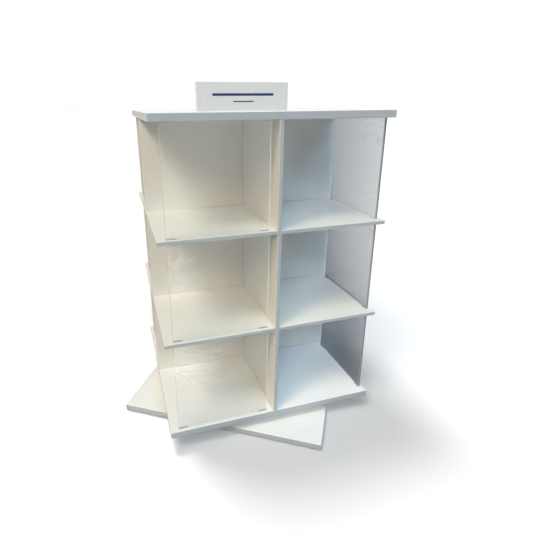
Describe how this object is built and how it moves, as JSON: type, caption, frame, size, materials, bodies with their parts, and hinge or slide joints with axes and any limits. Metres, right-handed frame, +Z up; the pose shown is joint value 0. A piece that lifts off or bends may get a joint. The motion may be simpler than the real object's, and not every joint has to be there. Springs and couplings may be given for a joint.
{
  "type": "rotating display stand",
  "caption": "Counter-top display stand of white acrylic with clear guard panels: open compartments in tiers that turn on a swivel above a square base plate, with a blank header sign.",
  "frame": {"origin": "on the turning axis, at the level of the table under the feet", "axes": "+Z up along the turning axis; the side with the header sign faces -Y, with its clear panel on the -X half"},
  "size_m": [0.414, 0.414, 0.4744],
  "materials": {
    "white_sheet": "gloss white acrylic sheet",
    "white_plate": "gloss white acrylic plate with eased edges",
    "clear_acrylic": "clear acrylic sheet, polished",
    "sign_face": "satin white acrylic",
    "zinc_steel": "zinc plated",
    "bright_steel": "polished steel",
    "screw_steel": "zinc plated",
    "cage_nylon": "natural nylon",
    "foot_rubber": "black rubber"
  },
  "bodies": {
    "base": {"base_plate": "white_plate", "foot_right": "foot_rubber", "foot_back": "foot_rubber", "foot_left": "foot_rubber", "foot_front": "foot_rubber", "swivel_lower_disc": "zinc_steel", "swivel_rivet": "bright_steel", "swivel_cage": "cage_nylon", "swivel_balls": "bright_steel", "base_screws": "screw_steel"},
    "cabinet": {"swivel_upper_disc": "zinc_steel", "cabinet_screws": "screw_steel", "bottom_plate": "white_plate", "divider_wall": "white_sheet", "cross_wall": "white_sheet", "shelf_lower_front_left": "white_sheet", "shelf_lower_front_right": "white_sheet", "shelf_lower_back_right": "white_sheet", "shelf_lower_back_left": "white_sheet", "shelf_upper_front_left": "white_sheet", "shelf_upper_front_right": "white_sheet", "shelf_upper_back_right": "white_sheet", "shelf_upper_back_left": "white_sheet", "panel_bottom_front_left": "clear_acrylic", "panel_bottom_front_right": "clear_acrylic", "panel_bottom_back_right": "clear_acrylic", "panel_bottom_back_left": "clear_acrylic", "panel_middle_front_left": "clear_acrylic", "panel_middle_front_right": "clear_acrylic", "panel_middle_back_right": "clear_acrylic", "panel_middle_back_left": "clear_acrylic", "panel_top_front_left": "clear_acrylic", "panel_top_front_right": "clear_acrylic", "panel_top_back_right": "clear_acrylic", "panel_top_back_left": "clear_acrylic", "top_plate": "white_plate", "header_sign": "sign_face"}
  },
  "joints": [
    {"name": "cabinet_turn", "type": "hinge", "parent": "base", "child": "cabinet", "pos_m": [0, 0, 0.0178], "axis": [0, 0, 1], "continuous": true}
  ]
}
